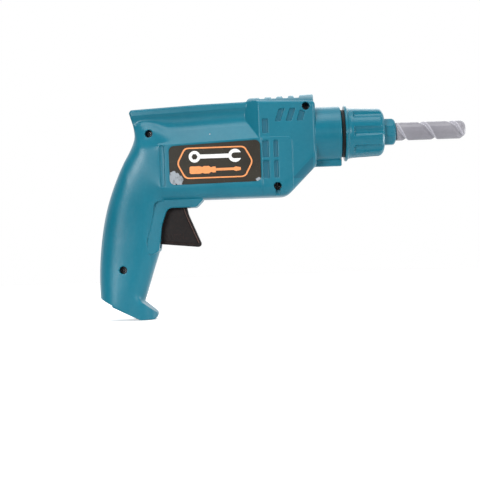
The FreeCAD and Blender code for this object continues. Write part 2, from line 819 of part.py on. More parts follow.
def crown_tooth():
    """A straight tooth at +X, pointing toward +Y, on the crown's own centre line."""
    root_y = -CROWN_PITCH_Y - 1.25 * MODULE
    tip_y = -CROWN_PITCH_Y + 0.85 * MODULE
    inner, outer = CROWN_FACE
    corners = [
        Vector(inner, root_y - 0.2, -0.88),
        Vector(inner, tip_y, -0.25),
        Vector(inner, tip_y, 0.25),
        Vector(inner, root_y - 0.2, 0.88),
    ]
    face = Part.Face(Part.makePolygon(corners + corners[:1]))
    return face.extrude(Vector(outer - inner, 0, 0))


def crown_gear():
    """Pinion at one end of a hub, and face teeth at the other for the spindle."""
    to_reduction = direction(CROWN_CENTRE, REDUCTION_CENTRE)
    first = tooth_angle_facing(CROWN_PINION_TEETH, to_reduction)
    pinion = gear_y(CROWN_PINION_TEETH, CROWN_CENTRE, first, 2.6, 7.2)
    hub = rod_y(3.4, CROWN_CENTRE, -10.2, 7.2)
    root_y = -CROWN_PITCH_Y - 1.25 * MODULE
    disc = rod_y(CROWN_FACE[1] + 0.4, CROWN_CENTRE, -10.0, root_y)
    tooth = crown_tooth()
    teeth = []
    for number in range(CROWN_TEETH):
        copy = turned(tooth, 360.0 * number / CROWN_TEETH, Y_AXIS)
        teeth.append(copy.translated(side(*CROWN_CENTRE)))
    solid = fuse([pinion, hub, disc] + teeth)
    return solid.cut(rod_y(PIN_RADIUS + RUNNING_GAP, CROWN_CENTRE, -12, 9))


def spindle_pinion():
    """Spur pinion on the end of the spindle, with a space facing the crown."""
    first = tooth_angle_facing(SPINDLE_PINION_TEETH, 0.0)
    outline = gear_outline(SPINDLE_PINION_TEETH, first)
    start, end = SPINDLE_PINION_X
    points = [Vector(start, -r * math.cos(a), r * math.sin(a)) for r, a in outline]
    gear = Part.Face(Part.makePolygon(points + points[:1])).extrude(Vector(end - start, 0, 0))
    solid = gear.fuse(rod_x(5.6, end, end + 3.0))
    return solid.cut(spindle_flat(rod_x(SPINDLE_RADIUS + 0.02, start - 1, end + 4), 0.02))


def spindle_flat(shape, gap):
    """Cut the drive flat that keys the pinion to the spindle."""
    flat = SPINDLE_RADIUS - 0.8 + gap
    return shape.cut(box((-90.0, SPINDLE_PINION_X[1] + 3.0), (-8, 8), (flat, 8)))


def spindle():
    """Stepped shaft from the pinion through both bushes into the chuck."""
    shaft = spun([
        (SPINDLE_PINION_X[0] - 0.2, 0.0),
        (SPINDLE_PINION_X[0] - 0.2, SPINDLE_RADIUS - 0.4),
        (SPINDLE_PINION_X[0] + 0.2, SPINDLE_RADIUS),
        (-7.0, SPINDLE_RADIUS),
        (-7.0, 8.4),
        (-4.6, 8.4),
        (-4.6, SPINDLE_FRONT_RADIUS),
        (SPINDLE_FRONT_X, SPINDLE_FRONT_RADIUS),
        (SPINDLE_FRONT_X, 0.0),
    ])
    shaft = spindle_flat(shaft, 0.0)
    clip_x = REAR_WALL_X + 3.4
    groove = rod_x(6.0, clip_x, clip_x + 1.0).cut(rod_x(3.3, clip_x - 1, clip_x + 2))
    cross_hole = Part.makeCylinder(1.02, 20.0, Vector(CHUCK_PIN_X, 0, -10.0))
    return shaft.cut(groove).cut(cross_hole)


def retaining_clip():
    """E-clip in the spindle's groove, in front of the rear bush."""
    x = REAR_WALL_X + 3.45
    ring = rod_x(6.4, x, x + 0.9).cut(rod_x(3.32, x - 1, x + 2))
    return ring.cut(box((x - 1, x + 2), (-1.9, 1.9), (0.0, 8.0)))


def rear_bush():
    body = rod_x(REAR_BUSH_RADIUS, REAR_WALL_X - 2.6, REAR_WALL_X + 2.6)
    flange = rod_x(REAR_BUSH_RADIUS + 1.4, REAR_WALL_X - 2.6, REAR_WALL_X - 1.6)
    front_flange = rod_x(REAR_BUSH_RADIUS + 1.4, REAR_WALL_X + 1.6, REAR_WALL_X + 2.6)
    bush = fuse([body, flange, front_flange])
    return bush.cut(rod_x(SPINDLE_RADIUS + RUNNING_GAP, REAR_WALL_X - 4, REAR_WALL_X + 4))


def front_bush():
    """Disc trapped in the collar, with a long hub around the spindle."""
    start, end = FRONT_BUSH_X
    disc = rod_x(FRONT_BUSH_RADIUS, start + 0.05, end - 0.05)
    hub = rod_x(9.0, -2.6, 8.6)
    bush = fuse([disc, hub])
    return bush.cut(rod_x(SPINDLE_FRONT_RADIUS + RUNNING_GAP, -4, 10))


def thrust_washer():
    ring = rod_x(9.0, -4.4, -2.9)
    return ring.cut(rod_x(SPINDLE_FRONT_RADIUS + 0.15, -5, -2))


# ---------------------------------------------------------------- chuck and bit
def chuck_sleeve():
    """Grooved outer sleeve with a thin flange at its rear."""
    rear = SLEEVE_REAR_X
    front = SLEEVE_FRONT_X
    sleeve = spun([
        (rear, 16.4),
        (rear, FLANGE_RADIUS - 0.3),
        (rear + 0.4, FLANGE_RADIUS),
        (rear + 1.5, FLANGE_RADIUS),
        (rear + 2.6, SLEEVE_REAR_RADIUS + 0.5),
        (rear + 4.6, SLEEVE_REAR_RADIUS),
        (front - 3.4, SLEEVE_FRONT_RADIUS),
        (front - 2.2, SLEEVE_FRONT_RADIUS - 0.5),
        (front - 0.6, SLEEVE_FRONT_RADIUS - 2.4),
        (front, SLEEVE_FRONT_RADIUS - 4.0),
        (front, NOSE_RADIUS + 0.25),
        (rear + 3.2, NOSE_RADIUS + 0.25),
        (rear + 3.2, 16.4),
    ])
    groove = rod_x(GROOVE_ROUND, GROOVE_START_X, front + 1)
    groove = rounded_edges(groove, 1.2, lambda e: abs(e.BoundBox.Center.x - GROOVE_START_X) < 0.01)
    groove.translate(Vector(0, GROOVE_DEPTH - SLEEVE_FRONT_RADIUS - GROOVE_ROUND, 0))
    tools = [turned(groove, 360.0 * number / SLEEVE_GROOVES) for number in range(SLEEVE_GROOVES)]
    for tool in tools:
        sleeve = sleeve.cut(tool)
    return sleeve


def dust_ring():
    """Black ring behind the flange that closes the gap to the collar."""
    rear, front = DUST_RING_X
    inner, outer = DUST_RING_RADII
    return rod_x(outer, rear, front).cut(rod_x(inner, rear - 1, front + 1))


def chuck_core():
    """The core that carries the bit; its nose has eight shallow flats."""
    core = spun([
        (SLEEVE_REAR_X - 1.6, SPINDLE_FRONT_RADIUS + 0.05),
        (SLEEVE_REAR_X - 1.6, 15.8),
        (SLEEVE_REAR_X + 3.0, 15.8),
        (SLEEVE_REAR_X + 3.0, NOSE_RADIUS + 0.2),
        (NOSE_FRONT_X - 2.6, NOSE_RADIUS + 0.2),
        (NOSE_FRONT_X - 1.0, NOSE_RADIUS - 0.8),
        (NOSE_FRONT_X, NOSE_RADIUS - 2.6),
        (NOSE_FRONT_X, BIT_SHANK_RADIUS + 0.05),
        (SPINDLE_FRONT_X + 0.5, BIT_SHANK_RADIUS + 0.05),
        (SPINDLE_FRONT_X + 0.5, SPINDLE_FRONT_RADIUS + 0.05),
    ])
    flats = []
    for number in range(8):
        block = box((SLEEVE_FRONT_X, NOSE_FRONT_X + 1), (-14.0, -NOSE_RADIUS + 0.45), (-8.0, 8.0))
        flats.append(turned(block, 45.0 * number))
    for flat in flats:
        core = core.cut(flat)
    return core.cut(Part.makeCylinder(1.02, 24.0, Vector(CHUCK_PIN_X, 0, -12.0)))


def chuck_pin():
    """Cross pin that locks the core to the spindle."""
    return Part.makeCylinder(1.0, 2 * (NOSE_RADIUS - 0.2), Vector(CHUCK_PIN_X, 0, -NOSE_RADIUS + 0.2))


def drill_bit():
    """Blunt plastic bit with one coarse right-handed flute."""
    bit = spun([
        (SPINDLE_FRONT_X + 1.0, 0.0),
        (SPINDLE_FRONT_X + 1.0, BIT_SHANK_RADIUS),
        (NOSE_FRONT_X + 0.2, BIT_SHANK_RADIUS),
        (NOSE_FRONT_X + 0.2, BIT_RADIUS),
        (BIT_TIP_X, BIT_RADIUS),
        (BIT_TIP_X, 0.0),
    ])
    bit = rounded_edges(bit, 4.2, lambda e: abs(e.BoundBox.Center.x - BIT_TIP_X) < 0.01
                        and e.BoundBox.YLength > 10)
    start_x = NOSE_FRONT_X + 0.6
    length = BIT_TIP_X + 4.0 - start_x
    helix = Part.makeHelix(FLUTE_PITCH, length, BIT_RADIUS + 0.9)
    begin = Vector(BIT_RADIUS + 0.9, 0, 0)
    profile = Part.Wire([Part.makeCircle(2.3, begin, Y_AXIS)])
    flute = Part.Wire(helix).makePipeShell([profile], True, True)
    flute.rotate(Vector(0, 0, 0), Y_AXIS, 90)
    start_angle = 360.0 * (start_x - FLUTE_MIDDLE_X) / FLUTE_PITCH
    flute.rotate(Vector(0, 0, 0), X_AXIS, start_angle - 90.0)
    flute.translate(Vector(start_x, 0, 0))
    return bit.cut(flute)


# ---------------------------------------------------------------- the whole drill
def build():
    outer = outer_half()
    hollow = hollow_half(outer)
    return {
        "right_shell": shell(outer, hollow, -1),
        "left_shell": shell(outer, hollow, 1),
        "shell_screws": shell_screws(),
        "right_label": label(-1),
        "left_label": label(1),
        "trigger": trigger(),
        "trigger_pin": axle(TRIGGER_PIVOT),
        "trigger_spring": trigger_spring(),
        "reduction_gear": reduction_gear(),
        "reduction_axle": axle(REDUCTION_CENTRE),
        "crown_gear": crown_gear(),
        "crown_axle": axle(CROWN_CENTRE),
        "spindle_pinion": spindle_pinion(),
        "spindle": spindle(),
        "retaining_clip": retaining_clip(),
        "rear_bush": rear_bush(),
        "thrust_washer": thrust_washer(),
        "front_bush": front_bush(),
        "dust_ring": dust_ring(),
        "chuck_sleeve": chuck_sleeve(),
        "chuck_core": chuck_core(),
        "chuck_pin": chuck_pin(),
        "drill_bit": drill_bit(),
    }


if __name__ == "__main__":
    os.makedirs("parts", exist_ok=True)
    for name, shape in build().items():
        shape.exportStep(f"parts/{name}.step")
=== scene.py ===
import json
from math import asin, cos, pi, radians, sin

import bmesh
import bpy
import numpy as np
from mathutils import Matrix, Vector

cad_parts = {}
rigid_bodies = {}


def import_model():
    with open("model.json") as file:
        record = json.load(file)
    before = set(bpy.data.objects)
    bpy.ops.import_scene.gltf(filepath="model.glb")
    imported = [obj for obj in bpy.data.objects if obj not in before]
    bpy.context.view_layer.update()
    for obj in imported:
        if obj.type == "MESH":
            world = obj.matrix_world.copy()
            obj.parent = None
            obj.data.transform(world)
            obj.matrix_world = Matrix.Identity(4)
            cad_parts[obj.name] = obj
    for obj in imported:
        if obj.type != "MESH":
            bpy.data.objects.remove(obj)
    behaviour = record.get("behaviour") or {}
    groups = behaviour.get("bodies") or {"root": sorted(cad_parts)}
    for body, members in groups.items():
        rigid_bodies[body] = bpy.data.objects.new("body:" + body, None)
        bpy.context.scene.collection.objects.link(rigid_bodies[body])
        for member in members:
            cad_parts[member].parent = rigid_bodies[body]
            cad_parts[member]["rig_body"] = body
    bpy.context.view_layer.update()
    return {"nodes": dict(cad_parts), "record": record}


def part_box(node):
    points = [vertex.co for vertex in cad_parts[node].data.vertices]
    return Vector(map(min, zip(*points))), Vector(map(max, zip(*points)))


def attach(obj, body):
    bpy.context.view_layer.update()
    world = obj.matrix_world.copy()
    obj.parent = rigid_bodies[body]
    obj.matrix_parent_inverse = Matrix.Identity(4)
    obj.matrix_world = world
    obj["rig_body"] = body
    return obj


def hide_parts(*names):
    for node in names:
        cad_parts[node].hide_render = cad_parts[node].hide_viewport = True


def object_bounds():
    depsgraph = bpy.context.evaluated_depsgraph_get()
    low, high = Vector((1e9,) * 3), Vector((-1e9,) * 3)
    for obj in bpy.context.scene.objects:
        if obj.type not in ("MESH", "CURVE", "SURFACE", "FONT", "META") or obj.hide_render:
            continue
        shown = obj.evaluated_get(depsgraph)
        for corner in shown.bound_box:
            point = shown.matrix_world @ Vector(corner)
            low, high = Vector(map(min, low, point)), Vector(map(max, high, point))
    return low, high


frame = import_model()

MM = 0.001
NODES = frame["nodes"]
SLOT_OF = {part["node"]: part["material_slot"] for part in frame["record"]["subparts"]}
SIDES = (("right", -1), ("left", 1))

# Colours, as linear red, green and blue.
TEAL = (0.0010, 0.142, 0.208)
TEAL_DEEP = (0.0006, 0.123, 0.183)
TEAL_PALE = (0.050, 0.260, 0.310)
SOOT = (0.0052, 0.0040, 0.0044)
SOOT_BROWN = (0.110, 0.046, 0.030)
LAVENDER = (0.262, 0.254, 0.278)
LAVENDER_DEEP = (0.210, 0.203, 0.228)
CHARCOAL = (0.030, 0.026, 0.018)
ORANGE = (0.790, 0.285, 0.085)
WHITE = (0.82, 0.82, 0.80)
VENT_PAINTED_SHADE = (0.0002, 0.088, 0.140)
RAIL_PAINTED_HIGHLIGHT = (0.40, 0.54, 0.60)
PEELED = (0.30, 0.33, 0.36)
FLUTE_PAINTED_HIGHLIGHT = (0.60, 0.59, 0.65)

# Vents in the side panels, in metres: the patch that they lie in, and the distances from the
# middle of the case at which the painted shade on their sunk floors starts and is full.
VENTS_X = (-0.0520, -0.0140)
VENTS_Z = (-0.0335, 0.0190)
VENT_FLOOR_Y = (0.02105, 0.02095)

# The rail on top of the case, in metres: where its painted highlight starts and is full.
RAIL_X = (-0.0690, -0.0650)
RAIL_Z = (0.0258, 0.0290)

# Peeled corners of the right label, in millimetres: middle in the side view, and reach.
LABEL_SCUFFS = (((-118.0, -32.0), 5.8), ((-54.6, -33.2), 1.9))

# How the case is smoothed: spots, reaches and boxes in the side view, in millimetres, and the
# slope at which the front of the grip leans.
SHOULDER, SHOULDER_REACH = (-133.0, 1.0), (24.0, 16.0)
GRIP_FRONT, GRIP_FRONT_REACH, GRIP_FRONT_LEAN = (-138.0, -24.0), (17.0, 29.0), 0.15
TOE, TOE_REACH = (-151.5, -117.0), (11.0, 10.0)
REAR_SCREW = (-135.6, 3.6)
SIDE_PANEL, SIDE_PANEL_HALF = (-80.0, -20.0), (48.3, 17.0)
SLOT_FRAME, SLOT_FRAME_HALF = (-112.5, -62.0), (28.5, 15.6)

# The bit, in millimetres: its radius and tip are a little less than the CAD model's.
BIT_REAR_X = 32.0
BIT_SHOULDER_X = 50.6
BIT_TIP_X = 103.3
BIT_RADIUS = 6.85
SHANK_RADIUS = 5.0
TIP_ROUND = 4.2
FLUTE_PITCH = 22.0
FLUTE_MIDDLE_X = 74.4
FLUTE_DEPTH = 1.7
SEAM_ANGLE = radians(22)

# View and room.
VIEW_CENTRE = Vector((-70.5, 0.0, -77.9)) * MM
VIEW_DISTANCE = 870.0 * MM
VIEW_ROLL = radians(2.1)
VIEW_WIDTH = 364.8 * MM
SENSOR = 36.0


# ---------------------------------------------------------------- materials
def add(tree, kind, inputs=None, **settings):
    """One shader node, with its settings, and its inputs set or linked by name or number."""
    made = tree.nodes.new("ShaderNode" + kind)
    for name, value in settings.items():
        setattr(made, name, value)
    for name, value in (inputs or {}).items():
        if isinstance(value, bpy.types.NodeSocket):
            tree.links.new(value, made.inputs[name])
        else:
            made.inputs[name].default_value = value
    return made


def new_material(name):
    """A material with its node tree emptied down to the shader and the output."""
    material = bpy.data.materials.new(name)
    material.use_nodes = True
    tree = material.node_tree
    tree.nodes.clear()
    shader = add(tree, "BsdfPrincipled")
    output = add(tree, "OutputMaterial")
    tree.links.new(shader.outputs[0], output.inputs["Surface"])
    return material, tree, shader


def noise(tree, place, scale, detail=2.0, rough=0.5, stretch=None):
    """Noise from 0 to 1 at a scale in turns per metre, stretched along an axis if asked."""
    if stretch:
        place = add(tree, "Mapping", {"Vector": place, "Scale": stretch}).outputs[0]
    made = add(tree, "TexNoise", {"Vector": place, "Scale": scale, "Detail": detail,
                                  "Roughness": rough})
    return made.outputs["Fac"]


def spread(tree, value, low, high, to_low=0.0, to_high=1.0):
    """A value mapped from low..high to to_low..to_high and held between them."""
    return add(tree, "MapRange", {"Value": value, "From Min": low, "From Max": high,
                                  "To Min": to_low, "To Max": to_high}).outputs[0]


def sums(tree, operation, one, two):
    """One arithmetic step on two values, each a socket or a number."""
    return add(tree, "Math", {0: one, 1: two}, operation=operation).outputs[0]


def blend(tree, share, one, two):
    """Colour one turned into colour two by the share."""
    mixer = add(tree, "Mix", data_type="RGBA")
    for socket, value in ((mixer.inputs[0], share), (mixer.inputs[6], one),
                          (mixer.inputs[7], two)):
        if isinstance(value, bpy.types.NodeSocket):
            tree.links.new(value, socket)
        elif isinstance(value, float):
            socket.default_value = value
        else:
            socket.default_value = (*value, 1.0)
    return mixer.outputs[2]


def axes(tree, place):
    """The three sockets that hold a place's X, Y and Z."""
    return add(tree, "SeparateXYZ", {"Vector": place}).outputs


def shader_of(material):
    return next(item for item in material.node_tree.nodes if item.type == "BSDF_PRINCIPLED")


def edge_share(tree, radius, start, full):
    """How near a surface point is to an outer or inner edge, from 0 to 1."""
    rounded_normal = add(tree, "Bevel", {"Radius": radius}, samples=6).outputs[0]
    true_normal = add(tree, "NewGeometry").outputs["Normal"]
    dot = add(tree, "VectorMath", {0: rounded_normal, 1: true_normal},
              operation="DOT_PRODUCT").outputs["Value"]
    return spread(tree, dot, start, full, 0.0, 1.0)


def surface_relief(tree, place, edge_radius, layers):
    """A normal with softened edges and one bump for each (scale, height, detail)."""
    normal = add(tree, "Bevel", {"Radius": edge_radius}, samples=6).outputs[0]
    for scale, height, detail in layers:
        bump = add(tree, "Bump", {"Height": noise(tree, place, scale, detail, 0.55),
                                  "Strength": 1.0, "Distance": height, "Normal": normal})
        normal = bump.outputs[0]
    return normal


def vent_shade_share(tree, place):
    """One on the sunk floors of the vents in both side panels, where their painted shade goes,
    zero elsewhere.
    """
    parts = axes(tree, place)
    from_middle = sums(tree, "ABSOLUTE", parts[1], 0.0)
    share = spread(tree, from_middle, *VENT_FLOOR_Y)
    for part, (low, high) in ((parts[0], VENTS_X), (parts[2], VENTS_Z)):
        inside = sums(tree, "MULTIPLY", sums(tree, "GREATER_THAN", part, low),
                      sums(tree, "LESS_THAN", part, high))
        share = sums(tree, "MULTIPLY", share, inside)
    return share


def rail_highlight_share(tree, place):
    """One on the upper part of the rail along the top of the case, where its painted highlight
    goes, zero elsewhere.
    """
    parts = axes(tree, place)
    return sums(tree, "MULTIPLY", spread(tree, parts[2], *RAIL_Z),
                spread(tree, parts[0], *RAIL_X))


def moulded_plastic(name, colour, deep, pale, gloss, peel=0.000012, edge_radius=0.00035,
                    wear=0.34, flecks=0.25, case=False):
    """Injection-moulded plastic: flow mottling, rubbed edges, flecks, orange peel and grain."""
    material, tree, shader = new_material(name)
    place = add(tree, "TexCoord").outputs["Object"]
    flow = spread(tree, noise(tree, place, 22.0, 3.0, 0.55, (1.0, 1.0, 0.6)), 0.34, 0.66)
    mottle = spread(tree, noise(tree, place, 420.0, 4.0, 0.6), 0.30, 0.70)
    tone = blend(tree, flow, colour, deep)
    tone = blend(tree, sums(tree, "MULTIPLY", mottle, 0.07), tone, pale)
    rubbed = sums(tree, "MULTIPLY", edge_share(tree, 0.0007, 0.985, 0.84),
                  spread(tree, noise(tree, place, 260.0, 4.0, 0.65), 0.38, 0.62))
    tone = blend(tree, sums(tree, "MULTIPLY", rubbed, wear), tone, pale)
    fleck = spread(tree, noise(tree, place, 760.0, 2.0, 0.5), 0.72, 0.78)
    tone = blend(tree, sums(tree, "MULTIPLY", fleck, flecks), tone, pale)
    shine = spread(tree, noise(tree, place, 75.0, 5.0, 0.6), 0.25, 0.75, gloss - 0.05,
                   gloss + 0.07)
    shine = sums(tree, "ADD", shine, sums(tree, "MULTIPLY", rubbed, 0.12))
    if case:
        # Painted shade on the sunk floors of the vents.
        sunk = vent_shade_share(tree, place)
        tone = blend(tree, sums(tree, "MULTIPLY", sunk, 0.70), tone, VENT_PAINTED_SHADE)
        shine = sums(tree, "ADD", shine, sums(tree, "MULTIPLY", sunk, 0.08))
        # Painted highlight on the top of the rail.
        tone = blend(tree, sums(tree, "MULTIPLY", rail_highlight_share(tree, place), 0.55), tone,
                     RAIL_PAINTED_HIGHLIGHT)
    tree.links.new(tone, shader.inputs["Base Color"])
    tree.links.new(shine, shader.inputs["Roughness"])
    relief = surface_relief(tree, place, edge_radius, ((130.0, peel * 2.0, 2.0),
                                                       (650.0, peel, 2.0),
                                                       (2600.0, peel * 0.35, 1.0)))
    tree.links.new(relief, shader.inputs["Normal"])
    shader.inputs["IOR"].default_value = 1.49
    shader.inputs["Specular IOR Level"].default_value = 0.36
    return material


def trigger_plastic():
    """Near-black plastic whose rubbed rims show a reddish brown."""
    material = moulded_plastic("trigger_plastic", SOOT, (0.0036, 0.0030, 0.0034), SOOT_BROWN,
                               0.50, wear=0.75, flecks=0.12)
    shader_of(material).inputs["Specular IOR Level"].default_value = 0.20
    return material


def label_film():
    """A charcoal printed film with a satin face, and two peeled corners on the right side."""
    material, tree, shader = new_material("label_film")
    place = add(tree, "TexCoord").outputs["Object"]
    parts = axes(tree, place)
    tone = blend(tree, spread(tree, noise(tree, place, 60.0, 4.0, 0.6), 0.3, 0.7),
                 CHARCOAL, (0.022, 0.018, 0.013))
    speck = spread(tree, noise(tree, place, 900.0, 2.0, 0.5), 0.66, 0.76)
    tone = blend(tree, sums(tree, "MULTIPLY", speck, 0.25), tone, (0.16, 0.14, 0.11))
    for corner, reach in LABEL_SCUFFS:
        off_x = sums(tree, "SUBTRACT", parts[0], corner[0] * MM)
        off_z = sums(tree, "SUBTRACT", parts[2], corner[1] * MM)
        offset = add(tree, "CombineXYZ", {0: off_x, 2: off_z}).outputs[0]
        away = add(tree, "VectorMath", {0: offset}, operation="LENGTH").outputs["Value"]
        ragged = sums(tree, "MULTIPLY", spread(tree, noise(tree, place, 170.0, 3.0, 0.55),
                                               0.2, 0.8, -1.0, 1.0), reach * 0.75 * MM)
        share = spread(tree, sums(tree, "ADD", away, ragged), reach * MM,
                       reach * 0.86 * MM)
        near = spread(tree, parts[1], 0.0, -0.001)
        share = sums(tree, "MULTIPLY", share, near)
        streak = spread(tree, noise(tree, place, 420.0, 3.0, 0.6, (1.0, 1.0, 0.5)), 0.30, 0.50,
                        0.45, 1.0)
        tone = blend(tree, sums(tree, "MULTIPLY", share, streak), tone, PEELED)
    tree.links.new(tone, shader.inputs["Base Color"])
    shine = spread(tree, noise(tree, place, 110.0, 4.0, 0.6), 0.3, 0.7, 0.36, 0.50)
    tree.links.new(shine, shader.inputs["Roughness"])
    relief = surface_relief(tree, place, 0.0001, ((95.0, 0.00003, 2.0), (1900.0, 0.000004, 1.0)))
    tree.links.new(relief, shader.inputs["Normal"])
    shader.inputs["IOR"].default_value = 1.46
    shader.inputs["Specular IOR Level"].default_value = 0.25
    return material


def printing_ink(name, colour, thin):
    """Screen-printed ink that has worn thin in places."""
    material, tree, shader = new_material(name)
    place = add(tree, "TexCoord").outputs["Object"]
    worn = spread(tree, noise(tree, place, 330.0, 5.0, 0.65), 0.56, 0.74)
    tone = blend(tree, sums(tree, "MULTIPLY", worn, 0.5), colour, thin)
    tree.links.new(tone, shader.inputs["Base Color"])
    shine = spread(tree, noise(tree, place, 200.0, 3.0, 0.5), 0.3, 0.7, 0.38, 0.52)
    tree.links.new(shine, shader.inputs["Roughness"])
    relief = surface_relief(tree, place, 0.00003, ((1500.0, 0.000004, 2.0),))
    tree.links.new(relief, shader.inputs["Normal"])
    return material


def drawn_steel(name, colour, gloss):
    """Turned or drawn steel: fine rings of machining, smudges and rubbed edges."""
    material, tree, shader = new_material(name)
    place = add(tree, "TexCoord").outputs["Object"]
    smudge = spread(tree, noise(tree, place, 300.0, 4.0, 0.6), 0.3, 0.7)
    dull = tuple(0.55 * part for part in colour)
    tone = blend(tree, smudge, colour, dull)
    rubbed = sums(tree, "MULTIPLY", edge_share(tree, 0.0003, 0.985, 0.85), 0.5)
    tone = blend(tree, rubbed, tone, (0.75, 0.75, 0.74))
    tree.links.new(tone, shader.inputs["Base Color"])
    shine = spread(tree, noise(tree, place, 900.0, 3.0, 0.5, (1.0, 6.0, 1.0)), 0.3, 0.7,
                   gloss - 0.06, gloss + 0.10)
    tree.links.new(shine, shader.inputs["Roughness"])
    relief = surface_relief(tree, place, 0.00015, ((2400.0, 0.000004, 2.0),))
    tree.links.new(relief, shader.inputs["Normal"])
    shader.inputs["Metallic"].default_value = 1.0
    return material


def floor_paper():
    """Matt white paper with a faint tooth, fading into the white room with distance."""
    material, tree, shader = new_material("floor_paper")
    place = add(tree, "TexCoord").outputs["Object"]
    tone = blend(tree, noise(tree, place, 3.0, 2.0), (0.90, 0.90, 0.90), (0.87, 0.875, 0.88))
    tree.links.new(tone, shader.inputs["Base Color"])
    shader.inputs["Roughness"].default_value = 0.9
    shader.inputs["Specular IOR Level"].default_value = 0.2
    away = add(tree, "VectorMath", {0: place}, operation="LENGTH").outputs["Value"]
    clear = add(tree, "BsdfTransparent")
    fading = add(tree, "MixShader", {0: spread(tree, away, 0.35, 0.95), 1: shader.outputs[0],
                                     2: clear.outputs[0]})
    shader.inputs["Emission Color"].default_value = (1.0, 1.0, 1.0, 1.0)
    shader.inputs["Emission Strength"].default_value = 0.45
    dim = add(tree, "BsdfDiffuse", {"Color": (0.80, 0.80, 0.80, 1.0)})
    near = add(tree, "MixShader", {0: spread(tree, away, 0.15, 0.45), 1: dim.outputs[0],
                                   2: clear.outputs[0]})
    seen = add(tree, "LightPath").outputs["Is Camera Ray"]
    either = add(tree, "MixShader", {0: seen, 1: near.outputs[0], 2: fading.outputs[0]})
    output = next(item for item in tree.nodes if item.type == "OUTPUT_MATERIAL")
    tree.links.new(either.outputs[0], output.inputs["Surface"])
    return material


def bit_plastic():
    """Grey plastic, with a painted highlight along the steep wall of the flute."""
    material = moulded_plastic("bit_plastic", LAVENDER, LAVENDER_DEEP, (0.46, 0.45, 0.50), 0.34,
                               peel=0.000010)
    tree = material.node_tree
    shader = shader_of(material)
    parts = axes(tree, add(tree, "TexCoord").outputs["Object"])
    angle = sums(tree, "ARCTAN2", sums(tree, "MULTIPLY", parts[2], -1.0),
                 sums(tree, "MULTIPLY", parts[1], -1.0))
    turns = sums(tree, "SUBTRACT",
                 sums(tree, "DIVIDE", sums(tree, "SUBTRACT", parts[0], FLUTE_MIDDLE_X * MM),
                      FLUTE_PITCH * MM), sums(tree, "DIVIDE", angle, 2 * pi))
    along = sums(tree, "MULTIPLY", sums(tree, "SUBTRACT", turns, sums(tree, "ROUND", turns, 0.0)),
                 FLUTE_PITCH)
    # Painted highlight along the steep wall of the flute.
    pale = sums(tree, "MULTIPLY", spread(tree, along, 0.0, 1.0), spread(tree, along, 3.2, 2.4))
    pale = sums(tree, "MULTIPLY", pale, sums(tree, "GREATER_THAN", parts[0],
                                             BIT_SHOULDER_X * MM))
    tone = blend(tree, sums(tree, "MULTIPLY", pale, 0.50),
                 shader.inputs["Base Color"].links[0].from_socket, FLUTE_PAINTED_HIGHLIGHT)
    tree.links.new(tone, shader.inputs["Base Color"])
    return material


def finish_nodes():
    """Give every CAD node the material of its slot."""
    case = moulded_plastic("case_plastic", TEAL, TEAL_DEEP, TEAL_PALE, 0.33, case=True)
    chuck = moulded_plastic("chuck_plastic", TEAL, TEAL_DEEP, TEAL_PALE, 0.28, wear=0.20)
    gear = moulded_plastic("gear_plastic", (0.62, 0.60, 0.52), (0.50, 0.48, 0.40),
                           (0.75, 0.74, 0.68), 0.40)
    # Near black: its own colour, and also painted shade in the gap behind the chuck.
    bush = moulded_plastic("bush_plastic", (0.0026, 0.0026, 0.0030), (0.002, 0.002, 0.0022),
                           (0.03, 0.03, 0.03), 0.60)
    steel = drawn_steel("pin_steel", (0.55, 0.55, 0.56), 0.28)
    spring = drawn_steel("spring_steel", (0.42, 0.42, 0.44), 0.32)
    screw = drawn_steel("screw_steel", (0.045, 0.045, 0.050), 0.40)
    looks = {
        "case": case, "chuck": chuck, "trigger_plastic": trigger_plastic(),
        "bit_plastic": bit_plastic(), "label": label_film(), "gear_plastic": gear,
        "bush_plastic": bush, "pin_steel": steel, "spring_steel": spring,
        "screw_steel": screw,
    }
    for name, node in NODES.items():
        node.data.materials.clear()
        node.data.materials.append(looks[SLOT_OF[name]])


# ---------------------------------------------------------------- moulded parts
def fade(value, inner, outer):
    """One where the value is under inner, falling smoothly to zero at outer."""
    share = np.clip((outer - value) / (outer - inner), 0.0, 1.0)
    return share * share * (3.0 - 2.0 * share)


def keep_off(points, centre, half, margin):
    """Zero inside a box in the side view, rising to one a margin outside it. Millimetres."""
    off_x = np.maximum(np.abs(points[:, 0] - centre[0]) - half[0], 0.0)
    off_z = np.maximum(np.abs(points[:, 2] - centre[1]) - half[1], 0.0)
    return 1.0 - fade(np.hypot(off_x, off_z), 0.0, margin)


def from_spot(x, z, centre, reach):
    """Distance from a spot in the side view, where 1 is the edge of an oval round it."""
    return np.hypot((x - centre[0]) / reach[0], (z - centre[1]) / reach[1])


def case_blend(points):
    """How far each point of the case is smoothed, where the grip flows into the barrel."""
    x, z = points[:, 0], points[:, 2]
    leaning = x + GRIP_FRONT_LEAN * (z - GRIP_FRONT[1])
    shoulder = fade(from_spot(x, z, SHOULDER, SHOULDER_REACH), 0.35, 1.0)
    front = fade(from_spot(leaning, z, GRIP_FRONT, GRIP_FRONT_REACH), 0.70, 1.0)
    toe = fade(from_spot(x, z, TOE, TOE_REACH), 0.5, 1.0) * 0.6
    weight = np.maximum(np.maximum(shoulder, front), toe)
    screw = fade(from_spot(x, z, REAR_SCREW, (1.0, 1.0)), 3.4, 6.0)
    weight = weight * (1.0 - screw)
    weight = weight * keep_off(points, SIDE_PANEL, SIDE_PANEL_HALF, 1.8)
    weight = weight * keep_off(points, SLOT_FRAME, SLOT_FRAME_HALF, 1.8)
    return weight * (1.0 - fade(np.abs(points[:, 1]), 1.5, 5.0))


def evaluated_mesh(piece):
    """The piece's mesh with its modifiers applied."""
    bpy.context.view_layer.update()
    depsgraph = bpy.context.evaluated_depsgraph_get()
    return bpy.data.meshes.new_from_object(piece.evaluated_get(depsgraph))


